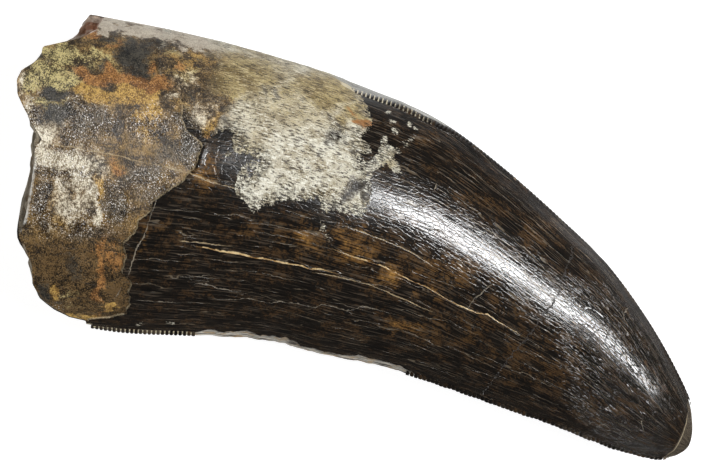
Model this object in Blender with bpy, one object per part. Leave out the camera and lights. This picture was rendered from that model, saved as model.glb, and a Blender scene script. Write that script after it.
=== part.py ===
"""A large theropod dinosaur's fossil tooth, lying on its side: one solid, in metres, +Z up.

X runs from the broken base to the worn tip, Y from the concave rear edge to the convex front edge, and Z up
from the surface that the tooth lies on. The body is a loft: a grid whose rows are cross-sections and whose
columns run from the broken rim, over the ragged enamel line, to the tip.
"""

import math

import bmesh
import bpy
import numpy as np
from mathutils import Vector

MM = 0.001

# Driving dimensions, in millimetres.
ENAMEL_LEDGE = 0.25  # the enamel stands this far above the bare root
KEEL_HEIGHT = 0.6  # of each cutting edge, above the round body
DENTICLE_PITCH = 0.55
DENTICLE_DEPTH = 0.34
PULP_DEPTH = 3.4  # of the hollow in the broken face
FLAT_CUT = 0.4  # how much of the belly the resting face takes away

# Facets of the faceted solid.
ROOT_ROWS = 6
CROWN_ROWS = 30
COLUMNS = 88  # round the section
BREAK_ROWS = 6  # across the broken face
BREAK_SMOOTHING = 12  # passes that even out the rim's jags, for each row inwards
CROWDING = 0.60  # how far the columns crowd towards the two cutting edges
SHARP_ANGLE = math.radians(32)

# The outline from above, in millimetres: matched points on the front and the rear edge, base to tip.
FRONT_EDGE = [
    (-41.2, 28.7), (-33.2, 27.9), (-25.0, 26.3), (-15.6, 24.0), (-6.2, 21.3), (3.1, 17.9), (10.6, 14.5),
    (18.1, 9.0), (25.6, 2.4), (31.6, -3.5), (36.7, -10.5), (40.4, -17.0), (42.2, -21.6),
]
REAR_EDGE = [
    (-44.6, -10.3), (-36.5, -11.0), (-28.8, -12.1), (-20.2, -12.5), (-11.9, -13.1), (-4.4, -14.8),
    (4.4, -16.8), (12.0, -19.2), (19.0, -21.7), (24.8, -23.7), (30.0, -25.8), (34.2, -27.2), (38.6, -27.9),
]
TIP = (41.9, -26.2)

# Heights at the same stations, base to tip: the section's middle, its rise above that and its drop below it.
MIDDLE_Z = [11.7, 11.6, 11.5, 11.4, 11.2, 11.0, 10.8, 10.6, 10.4, 10.2, 10.0, 9.9, 9.8, 9.8]
RISE = [12.4, 12.6, 12.6, 12.4, 12.0, 11.4, 10.7, 9.8, 8.8, 7.7, 6.4, 5.0, 3.2, 0.0]
DROP = [11.4, 11.7, 11.9, 12.0, 12.0, 11.7, 11.1, 10.2, 9.0, 7.7, 6.3, 4.8, 3.0, 0.0]
TOP_SKEW = 0.20  # the upper face is thickest nearer the front edge
BELLY_SKEW = 0.02
REAR_PINCH = 0.22  # the section narrows to its rear edge

# The broken rim of the root on the upper and the under face, seen from above, front edge to rear edge.
UPPER_RIM = [
    (-31.3, 27.5), (-32.2, 25.8), (-34.3, 24.8), (-38.8, 23.8), (-39.0, 22.7), (-39.8, 21.8), (-41.4, 20.8),
    (-42.0, 19.6), (-41.9, 17.7), (-41.0, 15.8), (-39.8, 13.6), (-38.8, 11.9), (-39.7, 11.2), (-39.8, 9.2),
    (-40.2, 6.4), (-40.9, 2.6), (-41.8, -0.2), (-41.0, -1.4), (-40.2, -3.8), (-40.2, -6.1), (-39.3, -7.8),
    (-37.7, -9.0), (-35.7, -10.3), (-33.6, -11.0),
]
UNDER_RIM = [
    (-33.0, 27.9), (-34.1, 26.8), (-34.6, 24.8), (-38.8, 23.9), (-39.3, 23.2), (-40.1, 22.0), (-41.6, 20.8),
    (-42.1, 19.6), (-41.2, 17.0), (-40.0, 14.6), (-38.9, 12.1), (-40.7, 10.8), (-40.6, 9.6), (-41.1, 7.1),
    (-41.9, 4.6), (-42.5, 0.8), (-42.4, -0.5), (-41.6, -1.7), (-40.6, -3.2), (-40.4, -5.8), (-39.6, -7.8),
    (-37.9, -9.3), (-35.7, -10.5), (-33.4, -11.1),
]
# The enamel's ragged lower edge on each face, seen from above in the same way.
UPPER_ENAMEL = [
    (-23.8, 25.8), (-22.5, 23.3), (-20.6, 20.2), (-21.6, 15.4), (-20.9, 13.3), (-19.0, 11.2), (-19.4, 9.8),
    (-20.6, 7.9), (-22.2, 6.2), (-24.1, 4.9), (-26.6, 2.0), (-27.1, 0.1), (-28.3, -1.1), (-28.9, -4.9),
    (-28.1, -6.0), (-28.1, -8.3), (-28.5, -10.1), (-30.6, -10.5), (-33.1, -10.6),
]
UNDER_ENAMEL = [
    (-23.8, 26.0), (-19.4, 21.9), (-22.6, 16.0), (-21.2, 12.2), (-24.8, 7.4), (-23.4, 3.2), (-26.2, -1.4),
    (-25.0, -5.6), (-28.0, -9.6), (-33.1, -10.8),
]
ROOT_END = 0.4  # all four lines lie in this share of the tooth

# Where each cutting edge runs, and how sharp its denticles are, against the share of the way to the tip.
FRONT_KEEL = [(0.36, 0.0), (0.42, 1.0), (0.93, 0.8), (0.985, 0.0)]
REAR_KEEL = [(0.05, 0.0), (0.10, 0.4), (0.16, 0.9), (0.5, 1.0), (0.93, 0.8), (0.985, 0.0)]
FRONT_SHARPNESS = [(0.37, 0.0), (0.40, 1.0), (0.52, 0.9), (0.60, 0.35), (0.90, 0.15), (0.95, 0.0)]
REAR_SHARPNESS = [(0.09, 1.0), (0.25, 1.0), (0.28, 0.25), (0.70, 0.30), (0.90, 0.35), (0.95, 0.0)]
FRONT_TURN = [(0.25, 0.0), (0.36, 0.26), (0.50, 0.24), (0.66, 0.06), (0.80, 0.0)]  # radians onto the upper face
KEEL_SPREAD = 0.13  # radians round the section

# Depth of the pulp hollow as a share of its full depth, from the rim to the middle of the broken face.
HOLLOW = [(0.0, 0.0), (0.22, 0.15), (0.45, 0.9), (1.0, 1.0)]


def along(pairs, x):
    """The value at x on a line through pairs of (place, value)."""
    places, values = zip(*pairs)
    return np.interp(x, places, values)


def spline(knots, points, x):
    """A smooth curve through the points, at x: cubic pieces whose slopes are those of their neighbours' chords."""
    knots = np.asarray(knots, float)
    points = np.asarray(points, float).reshape(len(knots), -1)
    slopes = np.gradient(points, knots, axis=0)
    x = np.clip(np.atleast_1d(x), knots[0], knots[-1])
    left = np.clip(np.searchsorted(knots, x, side="right") - 1, 0, len(knots) - 2)
    width = (knots[left + 1] - knots[left])[:, None]
    s = (x - knots[left])[:, None] / width
    return (
        (1 + 2 * s) * (1 - s) ** 2 * points[left]
        + s * (1 - s) ** 2 * width * slopes[left]
        + s * s * (3 - 2 * s) * points[left + 1]
        + s * s * (s - 1) * width * slopes[left + 1]
    )


STATIONS = np.linspace(0, 1, len(FRONT_EDGE) + 1)
OUTLINE = FRONT_EDGE + [TIP] + REAR_EDGE[::-1]
OUTLINE_KNOTS = np.concatenate([STATIONS, 2 - STATIONS[-2::-1]])


def front_edge(t):
    return spline(OUTLINE_KNOTS, OUTLINE, t)


def rear_edge(t):
    return spline(OUTLINE_KNOTS, OUTLINE, 2 - np.atleast_1d(t))


def cross_lines(t):
    """Each section's middle from above, its half width, and the direction across it to the front edge."""
    front, rear = front_edge(t), rear_edge(t)
    half = np.linalg.norm(front - rear, axis=1) / 2
    across = (front - rear) / np.maximum(2 * half, 1e-9)[:, None]
    return (front + rear) / 2, half, across


def keel_shape(theta):
    """1 on the cutting edge at angle 0, falling to 0 beside it."""
    off = np.abs((theta + math.pi) % (2 * math.pi) - math.pi)
    return np.exp(-((off / KEEL_SPREAD) ** 1.5))


def surface(t, theta, lift=0.0):
    """Points of the tooth's skin in millimetres. theta is 0 on the front edge and pi on the rear one."""
    t, theta = np.broadcast_arrays(np.atleast_1d(t).astype(float), theta)
    middle, half, across = cross_lines(t)
    turn = along(FRONT_TURN, t)
    angle = theta + turn * np.maximum(np.cos(theta), 0) ** 2
    a, b = np.cos(angle), np.sin(angle)
    front_keel, rear_keel = KEEL_HEIGHT * along(FRONT_KEEL, t), KEEL_HEIGHT * along(REAR_KEEL, t)
    keel = front_keel * keel_shape(theta) + rear_keel * keel_shape(theta - math.pi)
    front_room = np.maximum(front_keel - half * (1 - np.cos(turn)), 0)
    room = np.where(a > 0, front_room, rear_keel) * np.minimum(1, half / (4 * KEEL_HEIGHT))
    out = (np.maximum(half - room, 0) + np.minimum(keel, half)) * a
    pinch = np.abs(b) ** (REAR_PINCH * (1 - a) / 2)
    rise = spline(STATIONS, RISE, t)[:, 0] * (1 + TOP_SKEW * a)
    drop = spline(STATIONS, DROP, t)[:, 0] * (1 + BELLY_SKEW * a)
    height = np.where(b > 0, rise, drop) * b * pinch + keel * b
    scale = 1 + lift / np.maximum(np.hypot(half, rise), 1e-6)
    flat = middle + across * (out * scale)[:, None]
    z = spline(STATIONS, MIDDLE_Z, t)[:, 0] + height * scale
    return np.column_stack([flat, z])


def column_angles(count):
    """Angles round the section, crowded towards the two cutting edges at 0 and pi."""
    even = np.arange(count) * 2 * math.pi / count
    return even - CROWDING * np.sin(2 * even) / 2


def placed(outline):
    """A line drawn from above as two arrays: places across the tooth, rear to front, and their stations."""
    t = np.linspace(0, ROOT_END, 2000)
    middle, half, across = cross_lines(t)
    places = []
    for point in outline:
        reach = np.array(point) - middle
        nearest = np.abs(reach[:, 0] * across[:, 1] - reach[:, 1] * across[:, 0]).argmin()
        places.append((reach[nearest] @ across[nearest] / half[nearest], t[nearest]))
    return np.array(sorted(places)).T


def by_face(theta, upper, under):
    """For each angle, the station of a line that is drawn on each face."""
    a = np.cos(theta)
    return np.where(np.sin(theta) >= 0, np.interp(a, *placed(upper)), np.interp(a, *placed(under)))


def column_stations(theta):
    """For each column, the stations of its rows from the broken rim to the tip, and each row's lift."""
    rim = by_face(theta, UPPER_RIM, UNDER_RIM)
    step = ENAMEL_LEDGE / np.linalg.norm(np.subtract(TIP, FRONT_EDGE[0]))
    enamel = np.maximum(by_face(theta, UPPER_ENAMEL, UNDER_ENAMEL), rim + 2 * step)
    root = [rim + (enamel - step - rim) * s for s in np.linspace(0, 1, ROOT_ROWS)]
    crown = [enamel + (1 - enamel) * s for s in np.linspace(0, 1, CROWN_ROWS + 1)[:-1]]
    return np.array(root + crown), [-ENAMEL_LEDGE] * ROOT_ROWS + [0.0] * CROWN_ROWS


def ring(bm, points):
    return [bm.verts.new(Vector(p) * MM) for p in points]


def bridge(bm, lower, upper):
    """Quads between two rings of as many vertices."""
    count = len(lower)
    for i in range(count):
        j = (i + 1) % count
        bm.faces.new((lower[i], lower[j], upper[j], upper[i]))


def broken_face(bm, rim_points, rim):
    """The broken end: rings from the rim inwards, each smoother, dropping into the hollow; a fan closes it."""
    centre = rim_points.mean(axis=0)
    inward = cross_lines(0.12)[0][0] - cross_lines(0.0)[0][0]
    inward = np.append(inward / np.linalg.norm(inward), 0.0)
    jags = (rim_points - centre) @ inward
    even = rim_points - jags[:, None] * inward
    outer = rim
    for row in range(1, BREAK_ROWS + 1):
        s = row / (BREAK_ROWS + 1)
        for _ in range(BREAK_SMOOTHING):
            jags = (np.roll(jags, 1) + 2 * jags + np.roll(jags, -1)) / 4
        depth = jags * (1 - s) + PULP_DEPTH * along(HOLLOW, s)
        inner = ring(bm, even * (1 - s) + centre * s + depth[:, None] * inward)
        bridge(bm, inner, outer)
        outer = inner
    hub = bm.verts.new(Vector(centre + inward * PULP_DEPTH) * MM)
    for i, vertex in enumerate(outer):
        bm.faces.new((outer[(i + 1) % len(outer)], vertex, hub))


def cut_denticles(bm, rows, column, stations, sharpness):
    """Splits the crest of a cutting edge into denticles: every second new vertex drops into a notch."""
    opposite = (column + COLUMNS // 2) % COLUMNS
    for lower, upper, low, high in zip(rows, rows[1:], stations, stations[1:]):
        start, end = lower[column], upper[column]
        run = end.co - start.co
        sharp = float(along(sharpness, (low + high) / 2))
        pairs = round(run.length / MM / DENTICLE_PITCH)
        if sharp <= 0 or pairs < 1:
            continue
        origin = start.co.copy()
        notch = (lower[opposite].co - origin).normalized() * DENTICLE_DEPTH * sharp * MM
        for i in range(1, 2 * pairs):
            edge = bm.edges.get((start, end))
            start = bmesh.utils.edge_split(edge, start, 0.5)[1]
            start.co = origin + run * i / (2 * pairs) + (notch if i % 2 else Vector())


def lay_flat(bm):
    """Cuts the belly at the resting height and closes the cut with one flat face."""
    lowest = min(v.co.z for v in bm.verts)
    cut = bmesh.ops.bisect_plane(
        bm,
        geom=bm.verts[:] + bm.edges[:] + bm.faces[:],
        plane_co=(0, 0, lowest + FLAT_CUT * MM),
        plane_no=(0, 0, -1),
        clear_outer=True,
    )
    border = [e for e in cut["geom_cut"] if isinstance(e, bmesh.types.BMEdge)]
    bmesh.ops.contextual_create(bm, geom=border)


def centre_on_base(bm):
    """Puts the origin under the middle of the bounding box, on the resting face."""
    low = Vector(min(v.co[i] for v in bm.verts) for i in range(3))
    high = Vector(max(v.co[i] for v in bm.verts) for i in range(3))
    middle = (low + high) / 2
    bmesh.ops.translate(bm, verts=bm.verts[:], vec=(-middle.x, -middle.y, -low.z))


def tooth_mesh():
    theta = column_angles(COLUMNS)
    stations, lifts = column_stations(theta)
    bm = bmesh.new()
    rows = [ring(bm, surface(t, theta, lift)) for t, lift in zip(stations, lifts)]
    for lower, upper in zip(rows, rows[1:]):
        bridge(bm, lower, upper)
    tip = bm.verts.new(Vector(surface(1.0, 0.0)[0]) * MM)
    for i, vertex in enumerate(rows[-1]):
        bm.faces.new((vertex, rows[-1][(i + 1) % COLUMNS], tip))
    broken_face(bm, surface(stations[0], theta, lifts[0]), rows[0])
    cut_denticles(bm, rows, 0, stations[:, 0], FRONT_SHARPNESS)
    cut_denticles(bm, rows, COLUMNS // 2, stations[:, COLUMNS // 2], REAR_SHARPNESS)
    bmesh.ops.triangulate(bm, faces=bm.faces[:])
    lay_flat(bm)
    centre_on_base(bm)
    bmesh.ops.recalc_face_normals(bm, faces=bm.faces[:])
    mesh = bpy.data.meshes.new("tooth")
    bm.to_mesh(mesh)
    bm.free()
    return mesh


def fossil_enamel():
    material = bpy.data.materials.new("fossil_enamel")
    material.use_nodes = True
    shader = material.node_tree.nodes["Principled BSDF"]
    shader.inputs["Base Color"].default_value = (0.045, 0.026, 0.014, 1.0)
    shader.inputs["Roughness"].default_value = 0.28
    shader.inputs["Metallic"].default_value = 0.0
    return material


def main():
    for obj in list(bpy.data.objects):
        bpy.data.objects.remove(obj)
    collection = bpy.data.collections.new("dinosaur_tooth")
    bpy.context.scene.collection.children.link(collection)
    mesh = tooth_mesh()
    mesh.materials.append(fossil_enamel())
    mesh.shade_smooth()
    mesh.set_sharp_from_angle(angle=SHARP_ANGLE)
    collection.objects.link(bpy.data.objects.new("tooth", mesh))


main()
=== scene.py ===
"""The looks of a large theropod dinosaur's fossil tooth, seen from straight above.

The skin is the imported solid's own shape function at a finer grid. The enamel's ledge, the crust, the worn
edges and the denticles are in the mesh, and colour, fine wrinkles and cracks are in the material. Lengths are
in millimetres until a mesh is made. A name ending in _PX holds places in the photograph's 708 by 472 frame.
"""

import math

import bpy
import numpy as np
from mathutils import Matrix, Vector, noise


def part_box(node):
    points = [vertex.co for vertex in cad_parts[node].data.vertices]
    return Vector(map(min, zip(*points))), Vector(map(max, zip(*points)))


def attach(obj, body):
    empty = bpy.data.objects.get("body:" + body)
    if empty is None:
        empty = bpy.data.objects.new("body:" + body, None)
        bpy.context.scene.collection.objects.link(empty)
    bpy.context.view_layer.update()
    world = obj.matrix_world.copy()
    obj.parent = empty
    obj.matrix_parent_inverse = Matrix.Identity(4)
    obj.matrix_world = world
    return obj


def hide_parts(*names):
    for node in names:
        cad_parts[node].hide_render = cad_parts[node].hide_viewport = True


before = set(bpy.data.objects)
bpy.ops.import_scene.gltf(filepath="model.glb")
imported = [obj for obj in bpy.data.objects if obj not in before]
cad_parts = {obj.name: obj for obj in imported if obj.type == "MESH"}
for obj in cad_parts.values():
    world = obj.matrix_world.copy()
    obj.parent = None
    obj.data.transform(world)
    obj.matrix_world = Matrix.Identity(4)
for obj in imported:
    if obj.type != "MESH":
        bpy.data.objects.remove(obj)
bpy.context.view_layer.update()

MM = 0.001
PX_PER_MM = 8.0
PHOTO_ORIGIN_PX = (355.0, 236.5)

# The solid's shape, in millimetres.
ENAMEL_LEDGE = 0.25
KEEL_HEIGHT = 0.6
KEEL_SPREAD = 0.13
KEEL_POWER = 1.5
PULP_DEPTH = 3.4
FLAT_CUT = 0.4
FRONT_EDGE = [
    (-41.2, 28.7), (-33.2, 27.9), (-25.0, 26.3), (-15.6, 24.0), (-6.2, 21.3), (3.1, 17.9), (10.6, 14.5),
    (18.1, 9.0), (25.6, 2.4), (31.6, -3.5), (36.7, -10.5), (40.4, -17.0), (42.2, -21.6),
]
REAR_EDGE = [
    (-44.6, -10.3), (-36.5, -11.0), (-28.8, -12.1), (-20.2, -12.5), (-11.9, -13.1), (-4.4, -14.8),
    (4.4, -16.8), (12.0, -19.2), (19.0, -21.7), (24.8, -23.7), (30.0, -25.8), (34.2, -27.2), (38.6, -27.9),
]
TIP = (41.9, -26.2)
MIDDLE_Z = [11.7, 11.6, 11.5, 11.4, 11.2, 11.0, 10.8, 10.6, 10.4, 10.2, 10.0, 9.9, 9.8, 9.8]
RISE = [12.4, 12.6, 12.6, 12.4, 12.0, 11.4, 10.7, 9.8, 8.8, 7.7, 6.4, 5.0, 3.2, 0.0]
DROP = [11.4, 11.7, 11.9, 12.0, 12.0, 11.7, 11.1, 10.2, 9.0, 7.7, 6.3, 4.8, 3.0, 0.0]
TOP_SKEW = 0.20
BELLY_SKEW = 0.02
REAR_PINCH = 0.22
UPPER_RIM = [
    (-31.3, 27.5), (-32.2, 25.8), (-34.3, 24.8), (-38.8, 23.8), (-39.0, 22.7), (-39.8, 21.8), (-41.4, 20.8),
    (-42.0, 19.6), (-41.9, 17.7), (-41.0, 15.8), (-39.8, 13.6), (-38.8, 11.9), (-39.7, 11.2), (-39.8, 9.2),
    (-40.2, 6.4), (-40.9, 2.6), (-41.8, -0.2), (-41.0, -1.4), (-40.2, -3.8), (-40.2, -6.1), (-39.3, -7.8),
    (-37.7, -9.0), (-35.7, -10.3), (-33.6, -11.0),
]
UNDER_RIM = [
    (-33.0, 27.9), (-34.1, 26.8), (-34.6, 24.8), (-38.8, 23.9), (-39.3, 23.2), (-40.1, 22.0), (-41.6, 20.8),
    (-42.1, 19.6), (-41.2, 17.0), (-40.0, 14.6), (-38.9, 12.1), (-40.7, 10.8), (-40.6, 9.6), (-41.1, 7.1),
    (-41.9, 4.6), (-42.5, 0.8), (-42.4, -0.5), (-41.6, -1.7), (-40.6, -3.2), (-40.4, -5.8), (-39.6, -7.8),
    (-37.9, -9.3), (-35.7, -10.5), (-33.4, -11.1),
]
UPPER_ENAMEL = [
    (-23.8, 25.8), (-22.5, 23.3), (-20.6, 20.2), (-21.6, 15.4), (-20.9, 13.3), (-19.0, 11.2), (-19.4, 9.8),
    (-20.6, 7.9), (-22.2, 6.2), (-24.1, 4.9), (-26.6, 2.0), (-27.1, 0.1), (-28.3, -1.1), (-28.9, -4.9),
    (-28.1, -6.0), (-28.1, -8.3), (-28.5, -10.1), (-30.6, -10.5), (-33.1, -10.6),
]
UNDER_ENAMEL = [
    (-23.8, 26.0), (-19.4, 21.9), (-22.6, 16.0), (-21.2, 12.2), (-24.8, 7.4), (-23.4, 3.2), (-26.2, -1.4),
    (-25.0, -5.6), (-28.0, -9.6), (-33.1, -10.8),
]
ROOT_END = 0.388  # the root's lines lie below this station
NEAR_TIP = 0.97
OUTLINE_MARGIN = 3.0
FRONT_KEEL = [(0.36, 0.0), (0.42, 1.0), (0.93, 0.8), (0.985, 0.0)]
REAR_KEEL = [(0.05, 0.0), (0.10, 0.4), (0.16, 0.9), (0.5, 1.0), (0.93, 0.8), (0.985, 0.0)]
FRONT_TURN = [(0.25, 0.0), (0.36, 0.26), (0.50, 0.24), (0.66, 0.06), (0.80, 0.0)]

# The fine grid: columns on each face, and rows over the root, the enamel's ledge and the crown.
UPPER_COLUMNS = 180
UNDER_COLUMNS = 92
CROWDING = 0.35
ROOT_ROWS = 62
LEDGE_ROWS = 6
CROWN_ROWS = 270
BREAK_ROWS = 64
LEDGE_SPAN = 0.004  # share of the tooth's length that the ledge's own rows cover
TIP_ROUNDING = 0.4  # how far the last point stands out, as a share of the last two rows' depth

# Relief of the skin, in millimetres.
GIRTH = 14.0  # radius of the drum that the skin is unrolled from
SWELL = 0.05  # slow waves over the whole skin
ROOT_SWELL = 0.16
ROOT_ROUGHNESS = 0.05
ENAMEL_JAG = 0.55  # how far the enamel's broken edge strays from its course
LIP_HEIGHT = 0.05  # the enamel's rounded edge
LIP_PLACE = 0.35
LIP_WIDTH = 0.32
CRUST_HEIGHT = 0.07
CRUST_LUMPS = 0.05
CRUST_AT_CREST = 1.0  # the crust's outline reaches the front edge where it comes this near to it
CRUST_OVERHANG = 8.0  # there it is moved this far past the edge, so that the crust runs on over it
CRUST_FADE = 18.0  # how soon the crust ends on the under face
WEAR_BEGINS = 0.9  # the worn tip lies beyond this station
WEAR_RECESS = 0.18  # enamel worn off at the tip
CHIP_DEPTH = 0.22  # flakes missing from the rear edge
CHIP_FULL = 0.8  # reach of a flake that takes the whole depth off the crest
CHIP_RECESS = 0.14
CHIP_RAGGED = 0.5
CHIP_FADE = 6.0  # how soon the flakes end on the under face
CREST_MARGIN = 0.08  # how far round they don't fade yet
EDGE_WEAR = 0.10  # how unevenly the cutting edges are worn
REAR_WEAR = (0.25, 0.28)  # the stations between which that wear sets in
FRONT_WEAR = (0.5, 0.6)
UNDER_SHIFT = 7.0  # marks on the under face lie this much nearer the tip than their mirror images
FAR_OFF = -9.0  # stands for a place that has no such mark near it

# Ramps of the relief: the distances past a mark's edge, in millimetres, at which each is 0 and 1.
LEDGE_RAMP = (-0.12, 0.06)
SOFT_LEDGE_RAMP = (-6.0, 1.0)  # where the crust melds with the root and along the front edge
MELD_SOFT = (0.15, 0.5)
FRONT_SOFT = (6.0, 3.5)
CRUST_COVER = (-0.3, 1.6)  # the crust fills up the ledge below it
ROOT_COVER = (-5.0, 0.0)
CAKE_RAMP = (0.1, 1.3)
CAKE_ON_MELD = (0.8, 0.2)
WEAR_RAMP = (-0.1, 0.15)
CHIP_RAMP = (-0.05, 0.12)

# Denticles of the two cutting edges: short ribs across the crest.
DENTICLE_PITCH = 0.55
DENTICLE_SHARE = 0.40  # half a rib's width as a share of the pitch
DENTICLE_HEIGHT = 0.17
DENTICLE_ROOM = 0.8  # share of that height by which the crest is lowered
DENTICLE_SPREAD = (0.85, 1.1)  # how unevenly high the ribs are
LOWEST_DENTICLE = 0.1  # share of the height below which a rib is left out
FIRST_DENTICLE = 0.3
RIM_MARGIN = 0.004  # share of the length that stays free of ribs at the broken rim
UNMARKED = {"crust": -5.0, "chip": -5.0, "slit": 0.0, "far_keel": 0.0}  # marks that the ribs don't carry
RIB_ROWS = 9
FRONT_RIB_REACH = 0.055  # how far a rib runs down each face, as an angle
REAR_RIB_REACH = 0.15
RIB_PROFILE = [(-1.0, -0.6), (-0.92, 0.3), (-0.5, 0.88), (0.0, 1.0), (0.5, 0.88), (0.92, 0.3), (1.0, -0.6)]
FRONT_SHARPNESS = [(0.34, 0.0), (0.36, 0.7), (0.46, 0.7), (0.50, 0.4), (0.60, 0.2), (0.90, 0.15), (0.95, 0.0)]
REAR_SHARPNESS = [
    (0.085, 0.4), (0.12, 0.7), (0.220, 0.7), (0.236, 0.0), (0.46, 0.0), (0.50, 0.25), (0.90, 0.3),
    (0.95, 0.0),
]

# The broken end. Shares are of the way from the rim to the middle.
BREAK_CROWDING = 1.15  # makes the rings lie closer together near the rim
HOLLOW = [(0.0, 0.0), (0.03, 0.01), (0.24, 0.16), (0.30, 0.62), (0.36, 0.86), (0.6, 0.97), (1.0, 1.0)]
JAG_CALMING = 0.11  # how soon the rim's jags die out inwards
CORE_CALMING = 12.0  # how much sooner in the core
CORE_EDGE = (0.15, 0.35)
BREAK_LIP = 0.05  # share over which the roughness sets in
BREAK_WAVES = 0.20
BREAK_DENTS = 0.95
BREAK_SAND = 0.12
WALL_INSIDE = (0.32, 0.2)
SAND_BEGINS = (0.28, 0.34)
RUDDY_REACH = (6.0, 2.0)  # millimetres from the rim's front corner

# Edge of the cream crust on the crown, and the bits that lie apart from it: (x, y, radius).
CRUST_PX = [
    (345, 80), (356, 88), (362, 97), (367, 106), (370, 116), (372, 126), (362, 138), (372, 151),
    (360, 156), (361, 166), (370, 162), (378, 153), (382, 138), (386, 137), (388, 147), (398, 149),
    (400, 153), (393, 157), (399, 165), (401, 173), (394, 172), (388, 161), (382, 165), (372, 172),
    (370, 178), (371, 190), (371, 201), (363, 214), (350, 213), (340, 210), (332, 208), (326, 217),
    (322, 207), (318, 199), (304, 203), (292, 201), (280, 201), (271, 205), (263, 206), (259, 210),
    (255, 211), (250, 205), (246, 202), (236, 194), (241, 183), (240, 175), (243, 166), (252, 161),
    (263, 163), (258, 156), (248, 154), (238, 154), (233, 148), (235, 138), (230, 128), (221, 134),
    (205, 139), (191, 126), (181, 112), (178, 100), (164, 84), (158, 66), (160, 45), (170, 26),
    (230, 42), (305, 63),
]
CRUST_BITS_PX = [
    (409, 124, 3.5), (415, 128, 2.0), (396, 107, 2.0), (391, 104, 1.5), (323, 228, 3.0), (327, 236, 2.0),
    (329, 241, 1.5), (322, 222, 2.0), (392, 121, 2.5), (388, 113, 2.0), (395, 131, 2.5), (243, 176, 3.5),
    (240, 190, 4.5), (254, 207, 4.0), (406, 144, 2.5), (411, 140, 1.8), (231, 154, 2.0), (226, 157, 1.5),
    (137, 329, 2.5), (141, 327, 2.0), (169, 327, 2.5), (173, 328, 1.8),
]
CRUST_HOLES_PX = [(252, 171, 3.5), (338, 136, 2.5)]

# Edge of the worn tip.
TIP_WEAR_PX = [
    (681, 379), (686, 390), (689, 399), (689.5, 408), (687.5, 418), (684, 428), (679.5, 438), (675, 447),
    (670, 454), (664, 459),
]

# Cracks: half their width in millimetres, then their course. The cracks of one layer lie well apart.
CRACKS_PX = {
    "gold": [
        (0.09, [
            (197, 248), (210, 250), (223, 253.5), (241, 256), (255, 259.5), (267, 260.5), (284, 265),
            (301, 267), (310, 270.5), (322, 271), (335, 274.5),
        ]),
        (0.06, [
            (333, 250), (351, 257), (364, 261), (380, 266), (394, 273), (409, 281), (426, 288),
            (444, 299), (461, 308), (476, 314), (486, 315), (498, 323), (507, 328), (522, 337),
        ]),
    ],
    "cream": [
        (0.06, [(180, 243), (195, 243.5), (213, 246), (232, 247.5)]),
        (0.07, [
            (315, 274.5), (335, 278), (353, 282), (368, 286), (384, 292), (394, 297.5), (406, 302),
            (420, 309), (432, 314),
        ]),
        (0.08, [
            (48, 144), (66, 147), (80, 148), (92, 151.5), (109, 154), (125, 157), (133, 160.5),
            (144, 162), (163, 166), (178, 171), (190, 173), (200, 177), (211, 182), (227, 186),
            (238, 190),
        ]),
        (0.05, [(345, 226), (362, 232), (380, 239), (400, 247), (417, 256), (434, 268)]),
    ],
    "pale": [
        (0.05, [
            (214, 302), (234, 302.5), (246, 301), (260, 304), (272, 306), (279, 304.5), (299, 307),
            (315, 310.5), (322, 307), (335, 310), (348, 313.5), (361, 308.5), (379, 313), (394, 317),
        ]),
        (0.05, [(195, 286), (208, 287), (217, 291), (230, 293), (241, 294)]),
        (0.04, [(180, 279), (198, 279), (212, 277)]),
        (0.05, [(136, 303), (160, 305), (182, 306)]),
        (0.07, [(159, 196), (155, 209), (150, 225), (145, 239), (138, 248), (133, 264), (129, 277)]),
        (0.05, [(164, 145), (154, 162)]),
        (0.04, [(122, 291), (115, 303)]),
        (0.05, [(492, 283), (483, 291), (473, 300), (467, 309)]),
        (0.05, [(628, 304), (624, 312), (625, 319)]),
        (0.06, [(596, 428), (603, 427), (608, 431)]),
        (0.06, [(640, 421), (642, 431)]),
        (0.07, [(436, 184), (434, 190)]),
        (0.05, [(430, 198), (451, 208), (470, 219), (486, 229), (501, 236)]),
        (0.05, [(505, 232), (524, 246), (540, 262), (552, 276)]),
    ],
    "dark": [
        (0.08, [
            (573, 245), (570, 257), (566, 268), (562, 277), (558, 291), (554, 300), (545, 311),
            (535, 326), (527, 337), (518, 348), (505, 363), (497, 376), (488, 389), (480, 398),
        ]),
        (0.06, [(597, 328), (588, 340)]),
        (0.06, [(612, 322), (607, 333)]),
    ],
}
UPPER_CRACKS = ("gold", "cream")  # layers that the under face doesn't show
UPPER_ONLY = (0.3, 0.0)
CRACK_TAPER = 0.15  # share of a crack's length over which each end narrows
CRACK_END = 0.25
CRACK_RANGE = (0.9, 0.6)  # millimetres beyond which a crack isn't felt

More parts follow.
